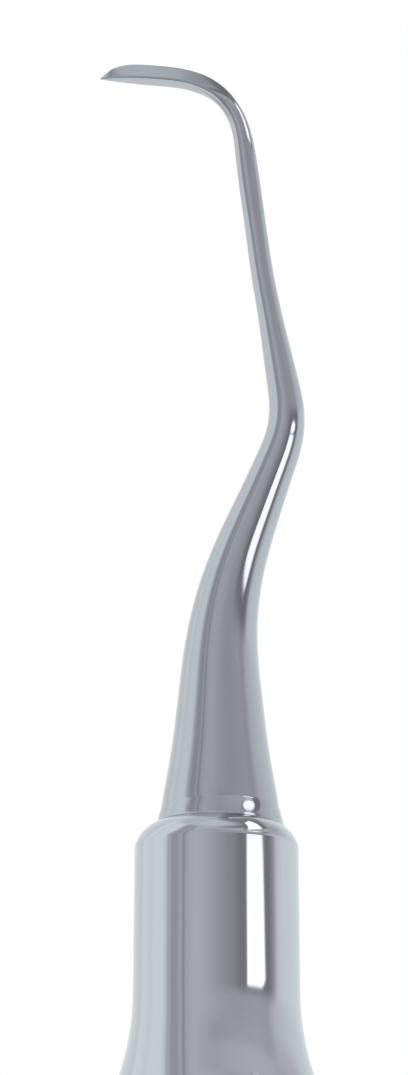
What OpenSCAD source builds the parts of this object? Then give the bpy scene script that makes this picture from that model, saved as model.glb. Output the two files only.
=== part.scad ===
// Double-ended dental hand scaler: a hollow handle with a screw-in working end at each end.
// Z is the handle's axis and the origin is at the handle's mid-length. End A points up, and
// end B is end A turned half a turn about Y, so that the two hooks make an S.

/* [Handle] */
// Outer diameter of the handle
handle_d = 9.5; // [9:0.1:12]
// Length of the barrel between its two nose cones
barrel_len = 90; // [80:1:110]
// Thickness of the barrel's wall
barrel_wall = 0.8; // [0.6:0.1:1.2]
// Length of one knurled band
band_len = 5; // [3:0.5:6]
// Number of knurled bands at each end of the barrel
band_count = 5; // [2:1:5]
// Width of the grooves beside the bands
groove_w = 0.8; // [0.4:0.1:1]
// Depth of those grooves
groove_depth = 0.35; // [0.1:0.05:0.4]
// Width of the plain ring at each end of the barrel
end_ring_w = 1.2; // [0.8:0.1:2]

/* [Nose cone] */
// Diameter of the collar just behind its rounded mouth
collar_front_d = 6.42; // [6.3:0.02:6.8]
// Diameter of the collar where the flare starts
collar_back_d = 6.54; // [6.5:0.02:7]
// Radius of the tight rounding where the collar turns into the dome
corner_r = 0.47; // [0.3:0.01:0.5]
// Angle that the tight rounding turns through
corner_turn = 20; // [10:1:25]
// Radius of the dome, which runs from the tight rounding to the flat mouth
dome_r = 1.44; // [1.3:0.02:1.44]
// Distance from the mouth to the start of the flare
collar_len = 6.7; // [5:0.1:8]
// Radius of the hollow part of the flare
flare_r = 11; // [8:0.5:16]
// Radius of the rounding where the flare meets the handle's diameter
crown_r = 2; // [1:0.1:3]
// Width of the plain land between the flare and the barrel
land_w = 0.25; // [0.1:0.05:1]
// Length of the spigot that fills the end of the barrel
spigot_len = 8; // [6:0.5:12]

/* [Screw socket] */
// Nominal diameter of the thread
thread_d = 3; // [2.5:0.1:3]
// Pitch of the thread
thread_pitch = 0.5; // [0.4:0.05:0.5]
// Length of the threaded stretch of the tang
thread_len = 3; // [2:0.5:3]
// Radial clearance between the tang and its socket
thread_clear = 0.04; // [0.02:0.01:0.08]

/* [Working end] */
// Diameter of the cone's foot, which rests on the mouth
foot_d = 5.04; // [4.8:0.02:5.2]
// Distance of the ground cone and foot from the thread's axis
cone_offset = 0.142; // [0:0.002:0.2]
// Angle by which the shank first leans away from the axis
heel_bend = 21.2; // [10:0.2:22]
// Angle of the sharp bend that brings the shank back over the axis
elbow_bend = 31.6; // [20:0.2:32]
// Angle by which the terminal shank straightens after the elbow
terminal_ease = 2.8; // [0:0.2:4]
// Angle of the last bend, which turns the shank into the blade
hook_bend = 77.4; // [60:0.2:80]
// Length of the shank and blade along their centre line
reach = 35.1; // [34.5:0.1:36]

/* [Hidden] */
fine = 96;
steel = "lightsteelblue";
satin_steel = "silver";
seal_black = "dimgray";

// Handle
handle_r = handle_d / 2;
barrel_bore_r = handle_r - barrel_wall;
band_step = band_len + groove_w;
edge_chamfer = 0.12;

// Nose cone, in a frame with the mouth at z = 0 and the socket below it
front_r = collar_front_d / 2;
back_r = collar_back_d / 2;
dome_x = front_r - (dome_r - corner_r) * cos(corner_turn) - corner_r;
shoulder_drop = dome_r - (dome_r - corner_r) * sin(corner_turn);
// The flare's hollow arc and the crown's round arc touch where the line of centres crosses them
flare_x = back_r + flare_r;
crown_x = handle_r - crown_r;
crown_drop = sqrt(pow(flare_r + crown_r, 2) - pow(flare_x - crown_x, 2));
flare_turn = asin(crown_drop / (flare_r + crown_r));
nose_len = collar_len + crown_drop + land_w;
mouth_z = barrel_len / 2 + nose_len;
spigot_r = barrel_bore_r - 0.01;
spigot_end = -nose_len - spigot_len;
arc_steps = 24;
corner_steps = 6;

// O-ring on the spigot
nose_seal_section = 0.39;
nose_seal_groove_r = spigot_r - 2 * nose_seal_section;
nose_seal_groove_w = 1;
nose_seal_z = -nose_len - spigot_len / 2;
nose_seal_groove_top = nose_seal_z + nose_seal_groove_w / 2;
nose_seal_groove_bottom = nose_seal_z - nose_seal_groove_w / 2;

// Socket, and the O-ring under the foot
socket_r = thread_d / 2;
seal_recess_r = socket_r + 0.15;
seal_recess_depth = 0.6;
neck_r = 1.1;
tip_seal_section = 0.27;
tip_seal_r = (seal_recess_r + neck_r) / 2;

// Tang
crest_r = socket_r - thread_clear;
root_r = crest_r - 0.26;
neck_len = 0.85;
pilot_len = 1.45;
thread_top = -neck_len - pilot_len;
thread_end = thread_top - thread_len;
dog_len = 0.6;
tang_bottom = thread_end - dog_len;
socket_depth = -tang_bottom + 0.5;
drill_point = socket_r * tan(31);

// Foot
// The skirt under the foot follows the dome, and its wall carries on the cone's taper
foot_r = foot_d / 2;
foot_top = 0.4;
foot_wall_r = foot_r - 0.06;
foot_top_r = foot_r - 0.155;
sweep_foot_r = foot_top_r + 0.025;
skirt_gap = 0.012;
skirt_drop = 0.14;
skirt_reach = foot_r + cone_offset + 0.1;
skirt_turn = acos((skirt_reach - dome_x) / (dome_r + skirt_gap));

// Swept shank and blade
sweep_start = 0.2;
// Each bend is [angle, where it starts along the shank, length over which it turns]
BENDS = [
    [heel_bend, 4.9, 7.7],
    [-elbow_bend, 14.7, 3.4],
    [terminal_ease, 21.6, 2],
    [-hook_bend, 27.5, 5.2]
];
// Half-widths are [distance along the shank, half-width]. The round shank narrows from the foot
// to the hook, and the blade has a flat face inside the hook and a narrow back outside it.
SHANK = [[0, sweep_foot_r], [sweep_start, sweep_foot_r], [foot_top, foot_top_r - 0.005],
    [0.8, 2.285], [1.2, 2.205], [1.7, 2.115], [2.8, 1.93], [3.6, 1.82], [7.2, 1.42],
    [10.4, 1.13], [13.5, 0.89], [16, 0.75], [18.5, 0.61], [21, 0.48], [24, 0.43], [27, 0.42]];
// How much deeper than wide the round shank is
DEPTH = [[0, 1], [1, 1], [3.6, 1.08], [8, 1.12], [13, 1.15], [16, 1.22], [19, 1.35],
    [22, 1.3], [25, 1.1], [27, 1], [reach, 1]];
TO_FACE = concat(SHANK, [[29.3, 0.33], [31.2, 0.29], [reach, 0.3]]);
TO_BACK = concat(SHANK, [[29.3, 0.36], [31.2, 0.42], [reach - 1.4, 0.43], [reach - 0.5, 0.2],
    [reach, -0.26]]);
TO_SIDE = concat(SHANK, [[29.3, 0.43], [31.2, 0.46], [reach - 1.6, 0.44], [reach - 0.5, 0.22],
    [reach, 0.02]]);
blade_start = 29.2;
blade_blend = 2.6;
blade_sharpness = 0.9;
rings = 84;
ring_sides = 24;
ring_step = (reach - sweep_start) / rings;

// Smooth step from 0 to 1
function ease(t) = let (u = min(max(t, 0), 1)) u * u * (3 - 2 * u);
function total(v, i = 0) = i < len(v) ? v[i] + total(v, i + 1) : 0;

// Cubic curve through the points of a table of [x, y]
function rise(t, i) = let (a = max(i - 1, 0), b = min(i + 1, len(t) - 1))
    (t[b].y - t[a].y) / (t[b].x - t[a].x);
function spot(t, x, i = 0) = i >= len(t) - 2 || x < t[i + 1].x ? i : spot(t, x, i + 1);
function through(t, x) = let (i = spot(t, x), h = t[i + 1].x - t[i].x, u = (x - t[i].x) / h)
    (1 + 2 * u) * pow(1 - u, 2) * t[i].y + u * pow(1 - u, 2) * h * rise(t, i)
    + u * u * (3 - 2 * u) * t[i + 1].y + u * u * (u - 1) * h * rise(t, i + 1);

// Lean of the centre line from the axis, positive towards +X
function lean(s) = total([for (b = BENDS) b[0] * ease((s - b[1]) / b[2])]);
function centre_line() = [for (i = 0, x = 0, z = sweep_start; i <= rings; i = i + 1,
    x = x + ring_step * sin(lean(sweep_start + (i - 0.5) * ring_step)),
    z = z + ring_step * cos(lean(sweep_start + (i - 0.5) * ring_step))) [x, z]];

// Section outline in unit form: a circle that turns into a triangle with its flat towards the face
function corner_part(t) = t < 1 ? [1 - 2 * t, t] : t < 2 ? [-1, 3 - 2 * t] : [2 * t - 5, t - 3];
function unit_section(turn, sharp) =
    (1 - sharp) * [cos(turn), sin(turn)] + sharp * corner_part(turn / 120);

function section_point(s, at, turn) =
    let (sharp = blade_sharpness * ease((s - blade_start) / blade_blend),
        unit = unit_section(turn, sharp),
        face = through(TO_FACE, s), back = through(TO_BACK, s),
        out = (back - face) / 2 + (back + face) / 2 * unit.x)
    [at.x + cone_offset + out * cos(lean(s)),
        through(TO_SIDE, s) * through(DEPTH, s) * unit.y, at.y - out * sin(lean(s))];

// Places a shape made in the mouth's frame at end A or at end B
module at_end_a() { translate([0, 0, mouth_z]) children(); }
module at_end_b() { rotate([0, 180, 0]) at_end_a() children(); }

module shank_and_blade() {
    line = centre_line();
    points = [for (i = [0:rings], j = [0:ring_sides - 1])
        section_point(sweep_start + i * ring_step, line[i], j * 360 / ring_sides)];
    walls = [for (i = [0:rings - 1], j = [0:ring_sides - 1])
        let (a = i * ring_sides, k = (j + 1) % ring_sides)
        each [[a + j, a + ring_sides + k, a + k], [a + j, a + ring_sides + j, a + ring_sides + k]]];
    foot_cap = [[for (j = [0:ring_sides - 1]) j]];
    tip_cap = [[for (j = [ring_sides - 1:-1:0]) rings * ring_sides + j]];
    polyhedron(points, concat(walls, foot_cap, tip_cap));
}

module foot_ring() {
    under = [for (i = [0:arc_steps]) let (a = 90 - (90 - skirt_turn) * i / arc_steps)
        [dome_x + (dome_r + skirt_gap) * cos(a), -dome_r + (dome_r + skirt_gap) * sin(a)]];
    intersection() {
        rotate_extrude($fn = fine)
            polygon(concat([[0, foot_top], [0, 0], [dome_x, 0]], under, [[skirt_reach, foot_top]]));
        translate([cone_offset, 0, 0]) rotate_extrude($fn = fine)
            polygon([[0, -1], [foot_r, -1], [foot_r, -skirt_drop], [foot_wall_r, -skirt_drop / 4],
                [foot_top_r, foot_top], [0, foot_top]]);
    }
}

module tang() {
    crest_flat = thread_pitch / 4;
    rings_shown = floor(thread_len / thread_pitch);
    teeth = [for (i = [0:rings_shown - 1]) let (z = thread_top - i * thread_pitch)
        each [[crest_r, z], [crest_r, z - crest_flat],
            [root_r, z - thread_pitch / 2], [root_r, z - thread_pitch / 2 - crest_flat]]];
    rotate_extrude($fn = fine)
        polygon(concat(
            [[0, foot_top / 2], [neck_r, foot_top / 2], [neck_r, -neck_len], [crest_r, -neck_len]],
            teeth,
            [[root_r, thread_end], [neck_r, thread_end], [neck_r, tang_bottom], [0, tang_bottom]]));
}

module working_end() {
    color(steel) union() {
        shank_and_blade();
        foot_ring();
        tang();
    }
}

module nose_cone() {
    dome = [for (i = [0:arc_steps]) let (a = 90 - (90 - corner_turn) * i / arc_steps)
        [dome_x + dome_r * cos(a), -dome_r + dome_r * sin(a)]];
    corner = [for (i = [1:corner_steps]) let (a = corner_turn * (1 - i / corner_steps))
        [front_r - corner_r + corner_r * cos(a), -shoulder_drop + corner_r * sin(a)]];
    flare = [for (i = [0:arc_steps]) let (a = flare_turn * i / arc_steps)
        [flare_x - flare_r * cos(a), -collar_len - flare_r * sin(a)]];
    crown = [for (i = [1:arc_steps]) let (a = flare_turn * (1 - i / arc_steps))
        [crown_x + crown_r * cos(a), -collar_len - crown_drop + crown_r * sin(a)]];
    spigot = [[handle_r, -nose_len], [spigot_r, -nose_len],
        [spigot_r, nose_seal_groove_top], [nose_seal_groove_r, nose_seal_groove_top],
        [nose_seal_groove_r, nose_seal_groove_bottom], [spigot_r, nose_seal_groove_bottom],
        [spigot_r, spigot_end + edge_chamfer], [spigot_r - edge_chamfer, spigot_end],
        [0, spigot_end]];
    socket = [[0, -socket_depth - drill_point], [socket_r, -socket_depth],
        [socket_r, -seal_recess_depth], [seal_recess_r, -seal_recess_depth], [seal_recess_r, 0]];
    color(steel) rotate_extrude($fn = fine) polygon(concat(dome, corner, flare, crown, spigot, socket));
}

module nose_seal() {
    color(seal_black) rotate_extrude($fn = fine)
        translate([nose_seal_groove_r + nose_seal_section, nose_seal_z])
            circle(nose_seal_section, $fn = 48);
}

module tip_seal() {
    color(seal_black) rotate_extrude($fn = fine)
        translate([tip_seal_r, -seal_recess_depth / 2]) circle(tip_seal_section, $fn = 48);
}

module groove(z) {
    translate([0, 0, z]) difference() {
        cylinder(h = groove_w, r = handle_r + 1, center = true, $fn = fine);
        cylinder(h = groove_w + 1, r = handle_r - groove_depth, center = true, $fn = fine);
    }
}

module handle_barrel() {
    first_groove = barrel_len / 2 - end_ring_w - groove_w / 2;
    color(satin_steel) difference() {
        rotate_extrude($fn = fine) polygon([[barrel_bore_r, -barrel_len / 2],
            [handle_r - edge_chamfer, -barrel_len / 2], [handle_r, -barrel_len / 2 + edge_chamfer],
            [handle_r, barrel_len / 2 - edge_chamfer], [handle_r - edge_chamfer, barrel_len / 2],
            [barrel_bore_r, barrel_len / 2]]);
        for (i = [0:band_count], side = [-1, 1]) groove(side * (first_groove - i * band_step));
    }
}

module nose_cone_a() { at_end_a() nose_cone(); }
module nose_cone_b() { at_end_b() nose_cone(); }
module nose_seal_a() { at_end_a() nose_seal(); }
module nose_seal_b() { at_end_b() nose_seal(); }
module working_end_a() { at_end_a() working_end(); }
module working_end_b() { at_end_b() working_end(); }
module tip_seal_a() { at_end_a() tip_seal(); }
module tip_seal_b() { at_end_b() tip_seal(); }

handle_barrel();
nose_cone_a();
nose_cone_b();
nose_seal_a();
nose_seal_b();
working_end_a();
working_end_b();
tip_seal_a();
tip_seal_b();
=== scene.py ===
"""Looks of the double-ended hand scaler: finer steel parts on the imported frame, and a studio."""
import math

import bpy
from mathutils import Matrix, Vector


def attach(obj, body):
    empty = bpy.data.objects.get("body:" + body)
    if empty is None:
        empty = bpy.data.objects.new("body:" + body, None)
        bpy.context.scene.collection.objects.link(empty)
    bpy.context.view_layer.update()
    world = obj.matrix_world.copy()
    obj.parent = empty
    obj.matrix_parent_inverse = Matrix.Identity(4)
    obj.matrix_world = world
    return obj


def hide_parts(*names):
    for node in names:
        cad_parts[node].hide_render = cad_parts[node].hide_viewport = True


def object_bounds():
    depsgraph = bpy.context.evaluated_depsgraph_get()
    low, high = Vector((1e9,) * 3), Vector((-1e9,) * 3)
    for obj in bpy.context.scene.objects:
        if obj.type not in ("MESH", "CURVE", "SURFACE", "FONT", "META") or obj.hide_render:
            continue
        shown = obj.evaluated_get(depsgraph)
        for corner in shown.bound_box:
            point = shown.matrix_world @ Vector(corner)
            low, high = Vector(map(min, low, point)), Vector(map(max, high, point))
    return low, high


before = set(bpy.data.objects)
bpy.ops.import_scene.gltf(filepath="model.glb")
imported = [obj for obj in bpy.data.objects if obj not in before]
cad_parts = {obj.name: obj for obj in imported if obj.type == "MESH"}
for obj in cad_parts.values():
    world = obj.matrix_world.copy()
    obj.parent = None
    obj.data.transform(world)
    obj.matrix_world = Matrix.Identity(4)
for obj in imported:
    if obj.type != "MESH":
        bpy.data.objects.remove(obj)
cad_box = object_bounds()

MM = 0.001


# ---------------------------------------------------------------- shared curves

def ease(t):
    """Smooth step from 0 to 1."""
    t = min(max(t, 0.0), 1.0)
    return t * t * (3 - 2 * t)


def through(table, x):
    """Cubic curve through a table of (x, y)."""
    last = len(table) - 1
    i = 0
    while i < last - 1 and x >= table[i + 1][0]:
        i += 1

    def rise(k):
        a, b = max(k - 1, 0), min(k + 1, last)
        return (table[b][1] - table[a][1]) / (table[b][0] - table[a][0])

    h = table[i + 1][0] - table[i][0]
    u = (x - table[i][0]) / h
    return ((1 + 2 * u) * (1 - u) ** 2 * table[i][1] + u * (1 - u) ** 2 * h * rise(i)
            + u * u * (3 - 2 * u) * table[i + 1][1] + u * u * (u - 1) * h * rise(i + 1))


def arc(cx, cz, r, start, stop, steps):
    """Points of an arc in (radius, height), angles in degrees, the first point left out."""
    turns = [math.radians(start + (stop - start) * i / steps) for i in range(1, steps + 1)]
    return [(cx + r * math.cos(t), cz + r * math.sin(t)) for t in turns]


def tube_mesh(name, rings, closed_ends=True):
    """Mesh through rings of equal point counts, in millimetres, written in metres."""
    sides = len(rings[0])
    points = [tuple(c * MM for c in p) for ring in rings for p in ring]
    faces = []
    for i in range(len(rings) - 1):
        for j in range(sides):
            k = (j + 1) % sides
            faces.append((i * sides + j, i * sides + k, (i + 1) * sides + k, (i + 1) * sides + j))
    if closed_ends:
        faces.append(tuple(range(sides - 1, -1, -1)))
        faces.append(tuple((len(rings) - 1) * sides + j for j in range(sides)))
    else:
        base = (len(rings) - 1) * sides
        faces += [(base + j, base + (j + 1) % sides, (j + 1) % sides, j) for j in range(sides)]
    mesh = bpy.data.meshes.new(name)
    mesh.from_pydata(points, [], faces)
    mesh.validate()
    mesh.update()
    return mesh


def lathe(profile, sides):
    """Rings of a turned part from its (radius, height) profile."""
    turns = [2 * math.pi * j / sides for j in range(sides)]
    return [[(r * math.cos(t), r * math.sin(t), z) for t in turns] for r, z in profile]


def add_piece(name, mesh, material, body, node, sharp_angle=30):
    """Puts a finished mesh in the scene, on its body, in place of its CAD node."""
    mesh.shade_smooth()
    mesh.set_sharp_from_angle(angle=math.radians(sharp_angle))
    mesh.materials.append(material)
    piece = bpy.data.objects.new(name, mesh)
    bpy.context.scene.collection.objects.link(piece)
    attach(piece, body)
    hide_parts(node)
    return piece


# ---------------------------------------------------------------- sizes (mm)
# The CAD part's own, with a finer shape for the foot's edge and wall

HANDLE_R = 4.75
BARREL_LEN = 90.0
BARREL_BORE_R = 3.95
EDGE_CHAMFER = 0.12
BAND_LEN = 5.0
BAND_COUNT = 5
GROOVE_W = 0.8
GROOVE_DEPTH = 0.35
END_RING_W = 1.2

FRONT_R = 3.21
BACK_R = 3.27
CORNER_R = 0.47
CORNER_TURN = 20.0
DOME_R = 1.44
COLLAR_LEN = 6.7
FLARE_R = 11.0
CROWN_R = 2.0
LAND_W = 0.25
SPIGOT_LEN = 8.0
SPIGOT_CLEAR = 0.01
SPIGOT_R = BARREL_BORE_R - SPIGOT_CLEAR
DOME_X = FRONT_R - (DOME_R - CORNER_R) * math.cos(math.radians(CORNER_TURN)) - CORNER_R
SHOULDER_DROP = DOME_R - (DOME_R - CORNER_R) * math.sin(math.radians(CORNER_TURN))
FLARE_X = BACK_R + FLARE_R
CROWN_X = HANDLE_R - CROWN_R
CROWN_DROP = math.sqrt((FLARE_R + CROWN_R) ** 2 - (FLARE_X - CROWN_X) ** 2)
FLARE_TURN = math.degrees(math.asin(CROWN_DROP / (FLARE_R + CROWN_R)))
NOSE_LEN = COLLAR_LEN + CROWN_DROP + LAND_W
MOUTH_Z = BARREL_LEN / 2 + NOSE_LEN

SEAL_SECTION = 0.39
SEAL_GROOVE_R = SPIGOT_R - 2 * SEAL_SECTION
SEAL_Z = -NOSE_LEN - SPIGOT_LEN / 2
SEAL_GROOVE_HALF = 0.5

THREAD_R = 1.5
THREAD_PITCH = 0.5
RECESS_R = 1.65
RECESS_DEPTH = 0.6
NECK_R = 1.1
NECK_LEN = 0.85
PILOT_LEN = 1.45
THREAD_LEN = 3.0
DOG_LEN = 0.6
THREAD_CLEAR = 0.04
THREAD_DEPTH = 0.26
CREST_R = THREAD_R - THREAD_CLEAR
ROOT_R = CREST_R - THREAD_DEPTH
THREAD_TOP = -NECK_LEN - PILOT_LEN
THREAD_END = THREAD_TOP - THREAD_LEN
TANG_BOTTOM = THREAD_END - DOG_LEN
SOCKET_SPARE = 0.5
SOCKET_DEPTH = -TANG_BOTTOM + SOCKET_SPARE
DRILL_ANGLE = 31
DOG_CHAMFER = 0.1
PILOT_CHAMFER = 0.08
FINE_CHAMFER = 0.04
CORE_R = 0.01

FOOT_FILLET_R = 0.14
SKIRT_GAP = 0.004
SKIRT_EDGE = 0.003
# Sine of the wall's lean where the fillet meets it
WALL_TILT = 0.228
FOOT_TOP = 0.54
REACH = 35.1
CONE_OFFSET = 0.142
# Each bend is (angle, where it starts along the shank, length over which it turns)
BENDS = [(21.2, 4.9, 7.7), (-31.6, 14.7, 3.4), (2.8, 21.6, 2.0), (-77.4, 27.5, 5.2)]
# Radius by distance along the centre line; the foot's wall bulges slightly below 0.5
SHANK = [(-0.2, 2.5044), (0, 2.458), (0.1, 2.4337), (0.2, 2.4083), (0.3, 2.3817), (0.4, 2.354),
         (0.5, 2.3252), (0.53, 2.3182), (0.6, 2.306), (0.75, 2.282), (1.2, 2.205), (1.7, 2.115),
         (2.8, 1.93), (3.6, 1.82), (7.2, 1.42), (10.4, 1.13), (13.5, 0.89), (16, 0.75),
         (18.5, 0.61), (21, 0.48), (24, 0.43), (27, 0.42)]
# How much deeper than wide the shank's section is
DEPTH = [(0, 1.0), (1, 1.0), (3.6, 1.08), (8, 1.12), (13, 1.15), (16, 1.22), (19, 1.35),
         (22, 1.3), (25, 1.1), (27, 1.0), (REACH, 1.0)]
# Distances from the centre line to the blade's face, back and sides
TO_FACE = SHANK + [(29.3, 0.33), (31.2, 0.29), (REACH, 0.3)]
TO_BACK = SHANK + [(29.3, 0.36), (31.2, 0.42), (REACH - 1.4, 0.43), (REACH - 0.5, 0.2),
                   (REACH, -0.26)]
TO_SIDE = SHANK + [(29.3, 0.43), (31.2, 0.46), (REACH - 1.6, 0.44), (REACH - 0.5, 0.22),
                   (REACH, 0.02)]
BLADE_START = 28.9
BLADE_BLEND = 2.4


# ---------------------------------------------------------------- camera

CAMERA_ELEVATION = math.radians(-13)
CAMERA_DISTANCE = 0.45
AIM = Vector((-0.49 * MM, 0, (MOUTH_Z + 11.4) * MM))
FOCAL_LENGTH = 382.8
SENSOR = 36

camera_data = bpy.data.cameras.new("camera")
camera_data.lens = FOCAL_LENGTH
camera_data.sensor_width = SENSOR
camera_data.clip_start = 0.01
camera_data.clip_end = 20
camera = bpy.data.objects.new("camera", camera_data)
bpy.context.scene.collection.objects.link(camera)
back = Vector((0, -math.cos(CAMERA_ELEVATION), math.sin(CAMERA_ELEVATION)))
camera.location = AIM + back * CAMERA_DISTANCE
camera.rotation_euler = (-back).to_track_quat("-Z", "Y").to_euler()
bpy.context.scene.camera = camera
bpy.context.scene.view_settings.view_transform = "Standard"


# ---------------------------------------------------------------- node helpers

class Graph:
    """A node tree with short calls for its nodes."""

    def __init__(self, tree):
        self.tree = tree
        tree.nodes.clear()

    def add(self, kind, inputs=None, **settings):
        """New node; inputs are plain values or sockets, by name or place."""
        made = self.tree.nodes.new(kind)
        for key, value in settings.items():
            setattr(made, key, value)
        for key, value in (inputs or {}).items():
            self.feed(value, made.inputs[key])
        return made

    def feed(self, value, socket):
        if isinstance(value, bpy.types.NodeSocket):
            self.tree.links.new(value, socket)
        else:
            socket.default_value = value

    def calc(self, operation, *values):
        return self.add("ShaderNodeMath", dict(enumerate(values)), operation=operation).outputs[0]

    def mix(self, factor, a, b):
        """a where factor is 0, b where it is 1, for plain numbers."""
        return self.add("ShaderNodeMix", {0: factor, 2: a, 3: b}).outputs[0]

    def smooth(self, value, start, stop):
        """0 below start and 1 above stop."""
        return self.add("ShaderNodeMapRange", {0: value, 1: start, 2: stop, 3: 0.0, 4: 1.0},
                        interpolation_type="SMOOTHSTEP").outputs[0]

    def ramp(self, value, stops):
        """Grey levels through (place, level) stops."""
        made = self.add("ShaderNodeValToRGB", {0: value})
        elements = made.color_ramp.elements
        for _ in range(len(stops) - 2):
            elements.new(0.5)
        for element, (place, level) in zip(elements, stops):
            element.position = place
            element.color = (level, level, level, 1)
        return made.outputs[0]


# ---------------------------------------------------------------- studio

# Brightness round the object by azimuth from the camera's direction (degrees, positive to the
# right), at several heights: a pale sweep on both sides, a grey card in front, and edge flags
LEFT = [(-180, 0.95), (-140, 0.9), (-130.8, 0.87), (-122.5, 1.01), (-113.8, 0.99),
        (-105.6, 0.93), (-97.3, 1), (-81.2, 0.99), (-75.5, 0.85), (-71.6, 0.57), (-68.7, 0.62),
        (-65.8, 0.46), (-63.9, 0.44), (-61.9, 0.48), (-58.1, 0.44), (-54.2, 0.54), (-51.2, 0.58),
        (-49.3, 0.52), (-47.8, 0.37), (-46.4, 0.42), (-43.4, 0.57), (-32.6, 0.65), (-24, 0.65)]
WALL = LEFT + [(-17, 0.6), (0, 0.5), (17, 0.39), (25, 0.36), (33, 0.27), (78, 0.26), (86, 0.43),
               (94, 0.82), (107, 0.93)]
SHOULDER = LEFT[:-1] + [(-17, 0.63), (-3, 0.57), (12, 0.51), (30, 0.5), (60, 0.53), (74, 0.5),
                        (88, 0.72), (110, 0.82), (150, 0.9), (180, 1.0)]
EAVES = LEFT[:-1] + [(-17, 0.58), (-3, 0.49), (10, 0.5), (30, 0.53), (60, 0.56), (78, 0.52),
                     (92, 0.65), (120, 0.68), (150, 0.9), (180, 1.0)]
LOFT = LEFT[:-1] + [(-17, 0.58), (0, 0.55), (20, 0.6), (50, 0.64), (75, 0.64), (90, 0.6),
                    (120, 0.55), (155, 0.9), (180, 1.0)]
CEILING = LEFT[:-1] + [(-17, 0.7), (0, 0.66), (20, 0.42), (45, 0.28), (75, 0.26), (120, 0.26),
                       (148, 0.4), (160, 0.9), (180, 0.95)]
ZENITH = [(-180, 0.8), (-110, 0.7), (-40, 0.78), (0, 0.8), (40, 0.72), (80, 0.3), (125, 0.32),
          (150, 0.7), (180, 0.8)]
DESK = [(-180, 1.0), (0, 0.95), (180, 1.0)]
GROUND = [(-180, 0.87), (-165, 0.75), (-140, 0.6), (-95, 0.9), (-80, 0.9), (-70, 0.5),
          (-40, 0.32), (0, 0.28), (60, 0.3), (84, 0.4), (95, 0.9), (120, 0.75), (165, 0.75),
          (180, 0.87)]
# Heights in degrees over which one ramp gives way to the next
DESK_TO_GROUND = (-42.0, -28.0)
GROUND_TO_WALL = (-16.0, -2.0)
UPPER_RAMPS = ((SHOULDER, 14.0, 20.0), (EAVES, 24.0, 34.0), (LOFT, 35.0, 41.0),
               (CEILING, 50.0, 58.0), (ZENITH, 58.0, 68.0))
SEEN_SKY = 1.0
DIFFUSE_SKY = 0.72
WHITE = (1, 1, 1, 1)
# The pale sweep is slightly cooler than the card; levels between these mix the two
SWEEP_TINT = (0.95, 1, 0.985, 1)
SWEEP_LEVELS = (0.6, 0.9)


def build_studio():
    """World that the camera sees as white, matt pieces as an even fill, and steel as a studio."""
    world = bpy.data.worlds.new("studio")
    bpy.context.scene.world = world
    world.use_nodes = True
    g = Graph(world.node_tree)
    way = g.add("ShaderNodeTexCoord").outputs["Generated"]
    axes = g.add("ShaderNodeSeparateXYZ", {0: way}).outputs
    around = g.calc("DEGREES", g.calc("ARCTAN2", axes["X"], g.calc("MULTIPLY", axes["Y"], -1.0)))
    height = g.calc("DEGREES", g.calc("ARCSINE", axes["Z"]))
    place = g.add("ShaderNodeMapRange", {0: around, 1: -180.0, 2: 180.0, 3: 0.0, 4: 1.0}).outputs[0]

    def band(stops):
        return g.ramp(place, [((a + 180) / 360, level) for a, level in stops])

    level = g.mix(g.smooth(height, *DESK_TO_GROUND), band(DESK), band(GROUND))
    level = g.mix(g.smooth(height, *GROUND_TO_WALL), level, band(WALL))
    for stops, start, stop in UPPER_RAMPS:
        level = g.mix(g.smooth(height, start, stop), level, band(stops))

    path = g.add("ShaderNodeLightPath").outputs
    level = g.mix(path["Is Diffuse Ray"], level, DIFFUSE_SKY)
    level = g.mix(path["Is Camera Ray"], level, SEEN_SKY)
    tint = g.add("ShaderNodeMix", {0: g.smooth(level, *SWEEP_LEVELS), 6: WHITE, 7: SWEEP_TINT},
                 data_type="RGBA").outputs[2]
    tint = g.add("ShaderNodeMix", {0: path["Is Camera Ray"], 6: tint, 7: WHITE},
                 data_type="RGBA").outputs[2]
    sky = g.add("ShaderNodeBackground", {"Color": tint, "Strength": level}).outputs[0]
    g.add("ShaderNodeOutputWorld", {"Surface": sky})


build_studio()

# Softbox to the camera's right and two small lamps above the mouth, seen only as reflections.
# Each is part of a shell round the mouth, placed by azimuth and height in degrees. A pair of
# numbers says where an edge starts and stops fading.
SHELL_STEPS = 24
LAMP_GLOW = 1.9
LAMP_FLAG = 0.27

SOFTBOX_DISTANCE = 250
SOFTBOX_LEFT = (41.0, 44.6)
SOFTBOX_RIGHT = (75.5, 67.0)
SOFTBOX_BOTTOM = (-11.0, -8.0)
SOFTBOX_TOP = (14.0, 12.0)
# Right of this azimuth the top edge falls away with the square of the distance
TOP_BOW_FROM = 63.0
TOP_BOW = 0.045

FOOT_LAMP_DISTANCE = 35
FOOT_LAMP_AROUND = 60.0
FOOT_LAMP_HEIGHT = 34.9
FOOT_LAMP_HALF_WIDTH = 13.0
FOOT_LAMP_HALF_HEIGHT = 2.6
FOOT_LAMP_TILT = 0.3
# Edges of the lamp and of its flag, in half sizes of the lamp; the flag is wider on the right
FOOT_LAMP_EDGE = (1.04, 0.98)
FOOT_FLAG_EDGE = (1.3, 1.2)
FOOT_FLAG_STRETCH = 0.45

LAMP_DISTANCE = 65
LAMP_LOW = 46.0
LAMP_HIGH = 67.0
LAMP_HALF_WIDTH = 17.0
LAMP_AROUND = 70.0
LAMP_LEAN = 1.3


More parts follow.
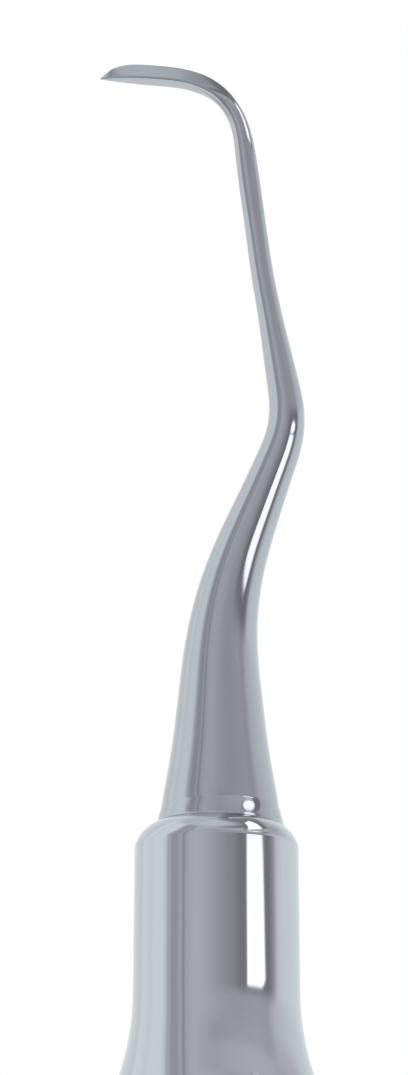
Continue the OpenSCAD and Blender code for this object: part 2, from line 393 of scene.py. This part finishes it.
def light_shell(name, distance, azimuths, heights):
    """Part of a sphere round the mouth; gives its node graph, azimuth and height in degrees."""
    points = []
    for i in range(SHELL_STEPS + 1):
        for j in range(SHELL_STEPS + 1):
            a = math.radians(azimuths[0] + (azimuths[1] - azimuths[0]) * i / SHELL_STEPS)
            h = math.radians(heights[0] + (heights[1] - heights[0]) * j / SHELL_STEPS)
            points.append(tuple(distance * MM * c for c in (
                math.sin(a) * math.cos(h), -math.cos(a) * math.cos(h), math.sin(h))))
    row = SHELL_STEPS + 1
    faces = [(i * row + j, i * row + j + 1, (i + 1) * row + j + 1, (i + 1) * row + j)
             for i in range(SHELL_STEPS) for j in range(SHELL_STEPS)]
    mesh = bpy.data.meshes.new(name)
    mesh.from_pydata(points, [], faces)
    shell = bpy.data.objects.new(name, mesh)
    shell.location = (0, 0, MOUTH_Z * MM)
    bpy.context.scene.collection.objects.link(shell)
    shell.visible_camera = False
    shell.visible_diffuse = False
    shell.visible_shadow = False

    material = bpy.data.materials.new(name + "_cloth")
    material.use_nodes = True
    mesh.materials.append(material)
    g = Graph(material.node_tree)
    way = g.add("ShaderNodeVectorMath", {0: g.add("ShaderNodeTexCoord").outputs["Object"]},
                operation="NORMALIZE").outputs[0]
    axes = g.add("ShaderNodeSeparateXYZ", {0: way}).outputs
    around = g.calc("DEGREES", g.calc("ARCTAN2", axes["X"], g.calc("MULTIPLY", axes["Y"], -1.0)))
    return g, around, g.calc("DEGREES", g.calc("ARCSINE", axes["Z"]))


def finish_shell(g, cover, glow):
    """The shell glows where cover is 1 and is clear where cover is 0."""
    light = g.add("ShaderNodeEmission", {"Color": WHITE, "Strength": glow}).outputs[0]
    clear = g.add("ShaderNodeBsdfTransparent").outputs[0]
    g.add("ShaderNodeOutputMaterial",
          {"Surface": g.add("ShaderNodeMixShader", {0: cover, 1: clear, 2: light}).outputs[0]})


def build_softbox():
    """Upright softbox whose top edge falls away towards the right."""
    g, around, height = light_shell("softbox", SOFTBOX_DISTANCE, (30, 85), (-25, 25))
    bow = g.calc("MAXIMUM", g.calc("SUBTRACT", around, TOP_BOW_FROM), 0.0)
    upper = g.calc("ADD", height, g.calc("MULTIPLY", g.calc("MULTIPLY", bow, bow), TOP_BOW))
    cover = 1.0
    for value, edge in ((around, SOFTBOX_LEFT), (around, SOFTBOX_RIGHT), (height, SOFTBOX_BOTTOM),
                        (upper, SOFTBOX_TOP)):
        cover = g.calc("MULTIPLY", cover, g.smooth(value, *edge))
    finish_shell(g, cover, LAMP_GLOW)


def build_foot_lamp():
    """Small round lamp in a dark flag, near enough that only the foot and the dome reflect it."""
    g, around, height = light_shell("foot_lamp", FOOT_LAMP_DISTANCE, (30, 100), (29, 42))
    across = g.calc("DIVIDE", g.calc("SUBTRACT", around, FOOT_LAMP_AROUND), FOOT_LAMP_HALF_WIDTH)
    above = g.calc("DIVIDE", g.calc("SUBTRACT", height, FOOT_LAMP_HEIGHT), FOOT_LAMP_HALF_HEIGHT)
    above = g.calc("ADD", above, g.calc("MULTIPLY", across, FOOT_LAMP_TILT))
    reach = g.calc("SQRT", g.calc("ADD", g.calc("MULTIPLY", across, across),
                                  g.calc("MULTIPLY", above, above)))
    right = g.calc("MULTIPLY", g.calc("MAXIMUM", across, 0.0), FOOT_FLAG_STRETCH)
    cover = g.smooth(g.calc("SUBTRACT", reach, right), *FOOT_FLAG_EDGE)
    finish_shell(g, cover, g.mix(g.smooth(reach, *FOOT_LAMP_EDGE), LAMP_FLAG, LAMP_GLOW))


def build_lamp():
    """Lamp above the mouth in a dark flag; it leans to the right with height."""
    low, high, half = LAMP_LOW, LAMP_HIGH, LAMP_HALF_WIDTH
    g, around, height = light_shell("lamp", LAMP_DISTANCE, (10, 150), (40, 75))
    lean_at = g.calc("MULTIPLY", g.calc("SUBTRACT", height, low), LAMP_LEAN)
    across = g.calc("SUBTRACT", g.calc("SUBTRACT", around, LAMP_AROUND), lean_at)
    side = g.calc("SUBTRACT", half, g.calc("ABSOLUTE", across))
    glow = g.smooth(side, -1.0, 2.0)
    for start, stop in ((low, low + 1.0), (high, high - 3.0)):
        glow = g.calc("MULTIPLY", glow, g.smooth(height, start, stop))
    # The flag reaches further on the right than on the left
    cover = g.calc("MULTIPLY", g.smooth(across, half + 20.0, half + 14.0),
                   g.smooth(across, -half - 9.0, -half - 5.0))
    for start, stop in ((low - 1.0, low), (high + 2.0, high + 1.0)):
        cover = g.calc("MULTIPLY", cover, g.smooth(height, start, stop))
    finish_shell(g, cover, g.mix(glow, LAMP_FLAG, LAMP_GLOW))


build_softbox()
build_foot_lamp()
build_lamp()

# Soft overhead light for the floor's shadow and the matt pieces
SUN_STRENGTH = 0.9
SUN_SIZE = math.radians(25)
SUN_TURN = (math.radians(38), math.radians(-22), 0)

sun_data = bpy.data.lights.new("soft_key", "SUN")
sun_data.energy = SUN_STRENGTH
sun_data.angle = SUN_SIZE
sun = bpy.data.objects.new("soft_key", sun_data)
sun.rotation_euler = SUN_TURN
sun.visible_glossy = False
bpy.context.scene.collection.objects.link(sun)


# ---------------------------------------------------------------- materials

def new_material(name):
    material = bpy.data.materials.new(name)
    material.use_nodes = True
    return material, Graph(material.node_tree)


CLOUD_SCALE = 420.0
TINT_SPREAD = 0.015


def steel(name, colour, roughness, roughness_spread, streaks, streak_depth):
    """Stainless steel. streaks scales the fine finishing lines in x, y and z."""
    material, g = new_material(name)
    where = g.add("ShaderNodeTexCoord").outputs["Object"]
    lines_at = g.add("ShaderNodeMapping", {"Vector": where, "Scale": streaks}).outputs[0]
    lines = g.add("ShaderNodeTexNoise", {"Vector": lines_at, "Scale": 1.0, "Detail": 4.0,
                                         "Roughness": 0.6}).outputs["Fac"]
    cloud = g.add("ShaderNodeTexNoise", {"Vector": where, "Scale": CLOUD_SCALE,
                                         "Detail": 3.0}).outputs["Fac"]
    rough = g.calc("ADD", roughness - roughness_spread,
                   g.calc("MULTIPLY", g.calc("ADD", lines, cloud), roughness_spread))
    darker = tuple(c * (1 - TINT_SPREAD) for c in colour) + (1,)
    lighter = tuple(c * (1 + TINT_SPREAD) for c in colour) + (1,)
    tint = g.add("ShaderNodeMix", {"Factor": cloud, "A": darker, "B": lighter},
                 data_type="RGBA").outputs[2]
    streaking = g.calc("MULTIPLY", lines, streak_depth)
    bump = g.add("ShaderNodeBump", {"Height": streaking, "Strength": 1.0,
                                    "Distance": MM}).outputs[0]
    shader = g.add("ShaderNodeBsdfPrincipled", {"Base Color": tint, "Metallic": 1.0,
                                                "Roughness": rough, "Normal": bump}).outputs[0]
    g.add("ShaderNodeOutputMaterial", {"Surface": shader})
    return material


RUBBER_GRAIN = 9000.0
RUBBER_DARK = (0.018, 0.018, 0.02, 1)
RUBBER_PALE = (0.04, 0.04, 0.044, 1)
RUBBER_ROUGHNESS = 0.45
RUBBER_BUMP = 0.02 * MM


def rubber():
    """Black rubber with a fine matt grain."""
    material, g = new_material("seal_rubber")
    where = g.add("ShaderNodeTexCoord").outputs["Object"]
    grain = g.add("ShaderNodeTexNoise", {"Vector": where, "Scale": RUBBER_GRAIN,
                                         "Detail": 3.0}).outputs["Fac"]
    colour = g.add("ShaderNodeMix", {"Factor": grain, "A": RUBBER_DARK, "B": RUBBER_PALE},
                   data_type="RGBA").outputs[2]
    rough = g.calc("ADD", RUBBER_ROUGHNESS, g.calc("MULTIPLY", grain, 0.2))
    bump = g.add("ShaderNodeBump", {"Height": grain, "Strength": 0.3,
                                    "Distance": RUBBER_BUMP}).outputs[0]
    shader = g.add("ShaderNodeBsdfPrincipled", {"Base Color": colour, "Roughness": rough,
                                                "Normal": bump}).outputs[0]
    g.add("ShaderNodeOutputMaterial", {"Surface": shader})
    return material


COLLAR_COLOUR = (0.578, 0.60, 0.655)
TIP_COLOUR = (0.497, 0.516, 0.568)
SATIN_COLOUR = (0.52, 0.55, 0.575)

collar_steel = steel("polished_steel_collar", COLLAR_COLOUR, 0.075, 0.02, (900, 900, 60), 0.0006)
tip_steel = steel("polished_steel_tip", TIP_COLOUR, 0.085, 0.025, (1500, 1500, 90), 0.0012)
satin_steel = steel("satin_steel", SATIN_COLOUR, 0.26, 0.06, (80, 80, 4000), 0.002)
seal_rubber = rubber()


# ---------------------------------------------------------------- working ends

TIP_SIDES = 120
SWEEP_RINGS = 560
THREAD_STEPS = 16
# Length over which the thread's ridges rise at its far end and fade at the pilot
THREAD_RISE = 0.4
THREAD_FADE = 0.2
# The thread's groove deepens at this slope away from its ridge, less the ridge's flat top
FLANK_SLOPE = 3.84
CREST_SHARE = 0.3
SKIRT_RINGS = 10
FILLET_RINGS = 12
WALL_RINGS = 24
FIT_ROUNDS = 8


def lean(s):
    """Lean of the shank's centre line from the axis, in radians, positive towards +X."""
    return math.radians(sum(a * ease((s - start) / length) for a, start, length in BENDS))


# Corners of the blade's section in unit form: (x, y, radius, first and last direction of the
# rounding): the back edge, then the two edges of the face
CORNERS = [(1, 0, 0.3, -63, 63), (-1, 1, 0.33, 63, 180), (-1, -1, 0.33, 180, 297)]
CORNER_SHARE = 25


def blade_section(turn):
    """Point of the blade's section: a triangle with rounded corners; turn in degrees."""
    def on_corner(k, share):
        x, y, r, start, stop = CORNERS[k % 3]
        a = math.radians(start + (stop - start) * share)
        return Vector(((1 - r) * x + r * math.cos(a), (1 - r) * y + r * math.sin(a)))

    k = int(turn // 120)
    past = turn - 120 * k
    if past <= CORNER_SHARE:
        return on_corner(k, 0.5 + 0.5 * past / CORNER_SHARE)
    if past >= 120 - CORNER_SHARE:
        return on_corner(k + 1, 0.5 - 0.5 * (120 - past) / CORNER_SHARE)
    along = (past - CORNER_SHARE) / (120 - 2 * CORNER_SHARE)
    return on_corner(k, 1).lerp(on_corner(k + 1, 0), along)


def unit_section(turn, blade):
    """Circle that turns into the blade's section; turn in degrees."""
    a = math.radians(turn)
    return Vector((math.cos(a), math.sin(a))).lerp(blade_section(turn), blade)


def sweep_rings():
    """Rings of the shank and blade, from the top of the foot to the toe."""
    rings = []
    x, z = CONE_OFFSET, FOOT_TOP
    step = (REACH - FOOT_TOP) / SWEEP_RINGS
    for i in range(SWEEP_RINGS + 1):
        s = FOOT_TOP + i * step
        if i:
            x += step * math.sin(lean(s - step / 2))
            z += step * math.cos(lean(s - step / 2))
        blade = ease((s - BLADE_START) / BLADE_BLEND)
        face, back_r = through(TO_FACE, s), through(TO_BACK, s)
        side = through(TO_SIDE, s) * through(DEPTH, s)
        ring = []
        for j in range(TIP_SIDES):
            ux, uy = unit_section(360 * j / TIP_SIDES, blade)
            out = (back_r - face) / 2 + (back_r + face) / 2 * ux
            ring.append((x + out * math.cos(lean(s)), side * uy, z - out * math.sin(lean(s))))
        rings.append(ring)
    return rings


def tang_rings():
    """Rings of the dog point, the helical thread, the pilot, the neck and the foot."""
    turns = [2 * math.pi * j / TIP_SIDES for j in range(TIP_SIDES)]

    def ring(r, z):
        return [(r * math.cos(t), r * math.sin(t), z) for t in turns]

    def thread_ring(z):
        points = []
        fade = min(ease((z - THREAD_END) / THREAD_RISE), ease((THREAD_TOP - z) / THREAD_FADE))
        for j, t in enumerate(turns):
            phase = ((THREAD_TOP - z) / THREAD_PITCH + j / TIP_SIDES) % 1
            groove = min(max(FLANK_SLOPE * abs(phase - 0.5) - CREST_SHARE, 0), 1)
            r = ROOT_R + (CREST_R - ROOT_R) * (1 - groove) * fade
            points.append((r * math.cos(t), r * math.sin(t), z))
        return points

    rings = [ring(NECK_R - DOG_CHAMFER, TANG_BOTTOM), ring(NECK_R, TANG_BOTTOM + DOG_CHAMFER),
             ring(NECK_R, THREAD_END), ring(ROOT_R, THREAD_END)]
    count = round(THREAD_LEN / THREAD_PITCH * THREAD_STEPS)
    rings += [thread_ring(THREAD_END + THREAD_LEN * i / count) for i in range(1, count)]
    rings += [ring(r, z) for r, z in (
        (ROOT_R, THREAD_TOP), (CREST_R - PILOT_CHAMFER, THREAD_TOP),
        (CREST_R, THREAD_TOP + PILOT_CHAMFER), (CREST_R, -NECK_LEN - PILOT_CHAMFER),
        (CREST_R - PILOT_CHAMFER, -NECK_LEN), (NECK_R, -NECK_LEN), (NECK_R, 0.0), (DOME_X, 0.0))]
    return rings + foot_rings()


def foot_rings():
    """Skirt that follows the dome, a fillet up from it, and the foot's wall, off the axis."""
    turns = [2 * math.pi * j / TIP_SIDES for j in range(TIP_SIDES)]

    def over_dome(x, y):
        return math.sqrt((DOME_R + SKIRT_GAP) ** 2 - (math.hypot(x, y) - DOME_X) ** 2) - DOME_R

    # Where the fillet meets the dome, so that its other end lies on the wall
    spots = []
    for t in turns:
        r = SHANK[0][1]
        for _ in range(FIT_ROUNDS):
            x, y = CONE_OFFSET + r * math.cos(t), r * math.sin(t)
            low = math.acos((math.hypot(x, y) - DOME_X) / DOME_R)
            top_z = over_dome(x, y) + FOOT_FILLET_R * (math.sin(low) - WALL_TILT)
            top_r = r + FOOT_FILLET_R * (math.cos(low) - math.sqrt(1 - WALL_TILT ** 2))
            r += through(SHANK, top_z) - top_r
        spots.append((r, low, over_dome(x, y)))

    def under(q):
        points = []
        for t, (r, _, _) in zip(turns, spots):
            x = DOME_X * math.cos(t) * (1 - q) + (CONE_OFFSET + r * math.cos(t)) * q
            y = DOME_X * math.sin(t) * (1 - q) + r * math.sin(t) * q
            points.append((x, y, over_dome(x, y)))
        return points

    def fillet(q):
        points = []
        for t, (r, low, z) in zip(turns, spots):
            a = low + (math.asin(WALL_TILT) - low) * q
            out = r + FOOT_FILLET_R * (math.cos(low) - math.cos(a))
            points.append((CONE_OFFSET + out * math.cos(t), out * math.sin(t),
                           z + SKIRT_EDGE + FOOT_FILLET_R * (math.sin(low) - math.sin(a))))
        return points

    rings = [under(q / SKIRT_RINGS) for q in range(1, SKIRT_RINGS + 1)]
    rings += [fillet(q / FILLET_RINGS) for q in range(FILLET_RINGS + 1)]
    wall = []
    for k in range(1, WALL_RINGS):
        ring = []
        for t, (_, _, low) in zip(turns, rings[-1]):
            z = low + (FOOT_TOP - low) * k / WALL_RINGS
            r = through(SHANK, z)
            ring.append((CONE_OFFSET + r * math.cos(t), r * math.sin(t), z))
        wall.append(ring)
    return rings + wall


NOSE_SIDES = 192
ARC_STEPS = 48
CORNER_STEPS = 12
TAPER_STEPS = 8
CROWN_STEPS = 24


def nose_profile():
    """Profile of a nose cone, from the spigot over the flare, collar and dome into the socket."""
    profile = [(RECESS_R, -RECESS_DEPTH), (RECESS_R, -FINE_CHAMFER),
               (RECESS_R + FINE_CHAMFER, 0.0), (DOME_X, 0.0)]
    profile += arc(DOME_X, -DOME_R, DOME_R, 90, CORNER_TURN, ARC_STEPS)
    profile += arc(FRONT_R - CORNER_R, -SHOULDER_DROP, CORNER_R, CORNER_TURN, 0, CORNER_STEPS)
    for k in range(1, TAPER_STEPS + 1):
        profile.append((FRONT_R + (BACK_R - FRONT_R) * k / TAPER_STEPS,
                        -SHOULDER_DROP - (COLLAR_LEN - SHOULDER_DROP) * k / TAPER_STEPS))
    profile += arc(FLARE_X, -COLLAR_LEN, FLARE_R, 180, 180 + FLARE_TURN, ARC_STEPS)
    profile += arc(CROWN_X, -COLLAR_LEN - CROWN_DROP, CROWN_R, FLARE_TURN, 0, CROWN_STEPS)
    top, bottom = SEAL_Z + SEAL_GROOVE_HALF, SEAL_Z - SEAL_GROOVE_HALF
    end = -NOSE_LEN - SPIGOT_LEN
    profile += [(HANDLE_R, -NOSE_LEN + FINE_CHAMFER), (HANDLE_R - FINE_CHAMFER, -NOSE_LEN),
                (SPIGOT_R, -NOSE_LEN), (SPIGOT_R, top), (SEAL_GROOVE_R, top),
                (SEAL_GROOVE_R, bottom), (SPIGOT_R, bottom), (SPIGOT_R, end + EDGE_CHAMFER),
                (SPIGOT_R - EDGE_CHAMFER, end), (CORE_R, end)]
    point = THREAD_R * math.tan(math.radians(DRILL_ANGLE))
    socket = [(CORE_R, -SOCKET_DEPTH - point), (THREAD_R, -SOCKET_DEPTH), (THREAD_R, -RECESS_DEPTH)]
    return (socket + profile)[::-1]


nose_rings = lathe(nose_profile(), NOSE_SIDES)
end_a = Matrix.Translation((0, 0, MOUTH_Z * MM))
end_b = Matrix.Rotation(math.pi, 4, "Y") @ end_a
tip_rings = tang_rings() + sweep_rings()

for end, place in (("a", end_a), ("b", end_b)):
    mesh = tube_mesh("nose_" + end, nose_rings)
    mesh.transform(place)
    add_piece("nose_" + end, mesh, collar_steel, "handle", "nose_cone_" + end)
    mesh = tube_mesh("tip_" + end, tip_rings)
    mesh.transform(place)
    add_piece("scaler_tip_" + end, mesh, tip_steel, "tip_" + end, "working_end_" + end)


# ---------------------------------------------------------------- barrel

KNURL_STARTS = 36
KNURL_CELL = 8
KNURL_ROWS = 3.5
KNURL_DEPTH = 0.16
# Above 1, each diamond has a flat top
KNURL_RISE = 1.35
KNURL_END = 0.1
GROOVE_EASE = 0.05
BARREL_SHARP_ANGLE = 25
BARREL_SIDES = KNURL_STARTS * KNURL_CELL


def knurl_ring(z, row):
    """Ring of a diamond knurl; row counts rings down the band, KNURL_CELL to a diamond."""
    points = []
    for j in range(BARREL_SIDES):
        a = 2 * math.pi * j / BARREL_SIDES
        u = ((j + row) / KNURL_CELL) % 1
        v = ((j - row) / KNURL_CELL) % 1
        rise = min(1 - abs(2 * u - 1), 1 - abs(2 * v - 1))
        r = HANDLE_R - KNURL_DEPTH * (1 - min(1.0, KNURL_RISE * rise))
        points.append((r * math.cos(a), r * math.sin(a), z))
    return points


def barrel_rings():
    """Rings of the barrel's outside, from one bore edge to the other."""
    turns = [2 * math.pi * j / BARREL_SIDES for j in range(BARREL_SIDES)]

    def ring(r, z):
        return [(r * math.cos(t), r * math.sin(t), z) for t in turns]

    half = BARREL_LEN / 2
    upper = [ring(BARREL_BORE_R, half), ring(HANDLE_R - EDGE_CHAMFER, half),
             ring(HANDLE_R, half - EDGE_CHAMFER)]
    z = half - END_RING_W
    groove_r = HANDLE_R - GROOVE_DEPTH
    rows = round(KNURL_ROWS * KNURL_CELL)
    knurl_len = BAND_LEN - 2 * KNURL_END
    for i in range(BAND_COUNT + 1):
        upper += [ring(HANDLE_R, z + GROOVE_EASE), ring(HANDLE_R - GROOVE_EASE, z),
                  ring(groove_r, z), ring(groove_r, z - GROOVE_W),
                  ring(HANDLE_R - KNURL_DEPTH, z - GROOVE_W)]
        z -= GROOVE_W
        if i < BAND_COUNT:
            upper += [knurl_ring(z - KNURL_END - knurl_len * k / rows, k) for k in range(rows + 1)]
            z -= BAND_LEN
            upper.append(ring(HANDLE_R - KNURL_DEPTH, z))
    lower = [[(x, y, -h) for x, y, h in r] for r in reversed(upper)]
    return upper + lower


barrel_mesh = tube_mesh("barrel", list(reversed(barrel_rings())), closed_ends=False)
add_piece("barrel", barrel_mesh, satin_steel, "handle", "handle_barrel",
          BARREL_SHARP_ANGLE)

for node in ("nose_seal_a", "nose_seal_b", "tip_seal_a", "tip_seal_b"):
    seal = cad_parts[node]
    seal.data.materials.clear()
    seal.data.materials.append(seal_rubber)


# ---------------------------------------------------------------- floor

FLOOR_R = 1.0
FLOOR_SIDES = 128
FLOOR_GRAIN = 60.0
FLOOR_TONES = ((0.9, 0.9, 0.9, 1), (0.93, 0.93, 0.93, 1))


def build_floor():
    """Pale disc under the lowest point; steel sees the studio's own ground instead of it."""
    z = cad_box[0][2]
    turns = [2 * math.pi * j / FLOOR_SIDES for j in range(FLOOR_SIDES)]
    edge = [(FLOOR_R * math.cos(t), FLOOR_R * math.sin(t), z) for t in turns]
    mesh = bpy.data.meshes.new("floor")
    mesh.from_pydata(edge, [], [tuple(range(FLOOR_SIDES))])
    material, g = new_material("pale_floor")
    where = g.add("ShaderNodeTexCoord").outputs["Object"]
    grain = g.add("ShaderNodeTexNoise", {"Vector": where, "Scale": FLOOR_GRAIN,
                                         "Detail": 4.0}).outputs["Fac"]
    colour = g.add("ShaderNodeMix", {"Factor": grain, "A": FLOOR_TONES[0], "B": FLOOR_TONES[1]},
                   data_type="RGBA").outputs[2]
    shader = g.add("ShaderNodeBsdfPrincipled", {"Base Color": colour, "Roughness": 0.9,
                                                "Specular IOR Level": 0.1}).outputs[0]
    g.add("ShaderNodeOutputMaterial", {"Surface": shader})
    mesh.materials.append(material)
    floor = bpy.data.objects.new("floor", mesh)
    bpy.context.scene.collection.objects.link(floor)
    floor.visible_glossy = False


build_floor()
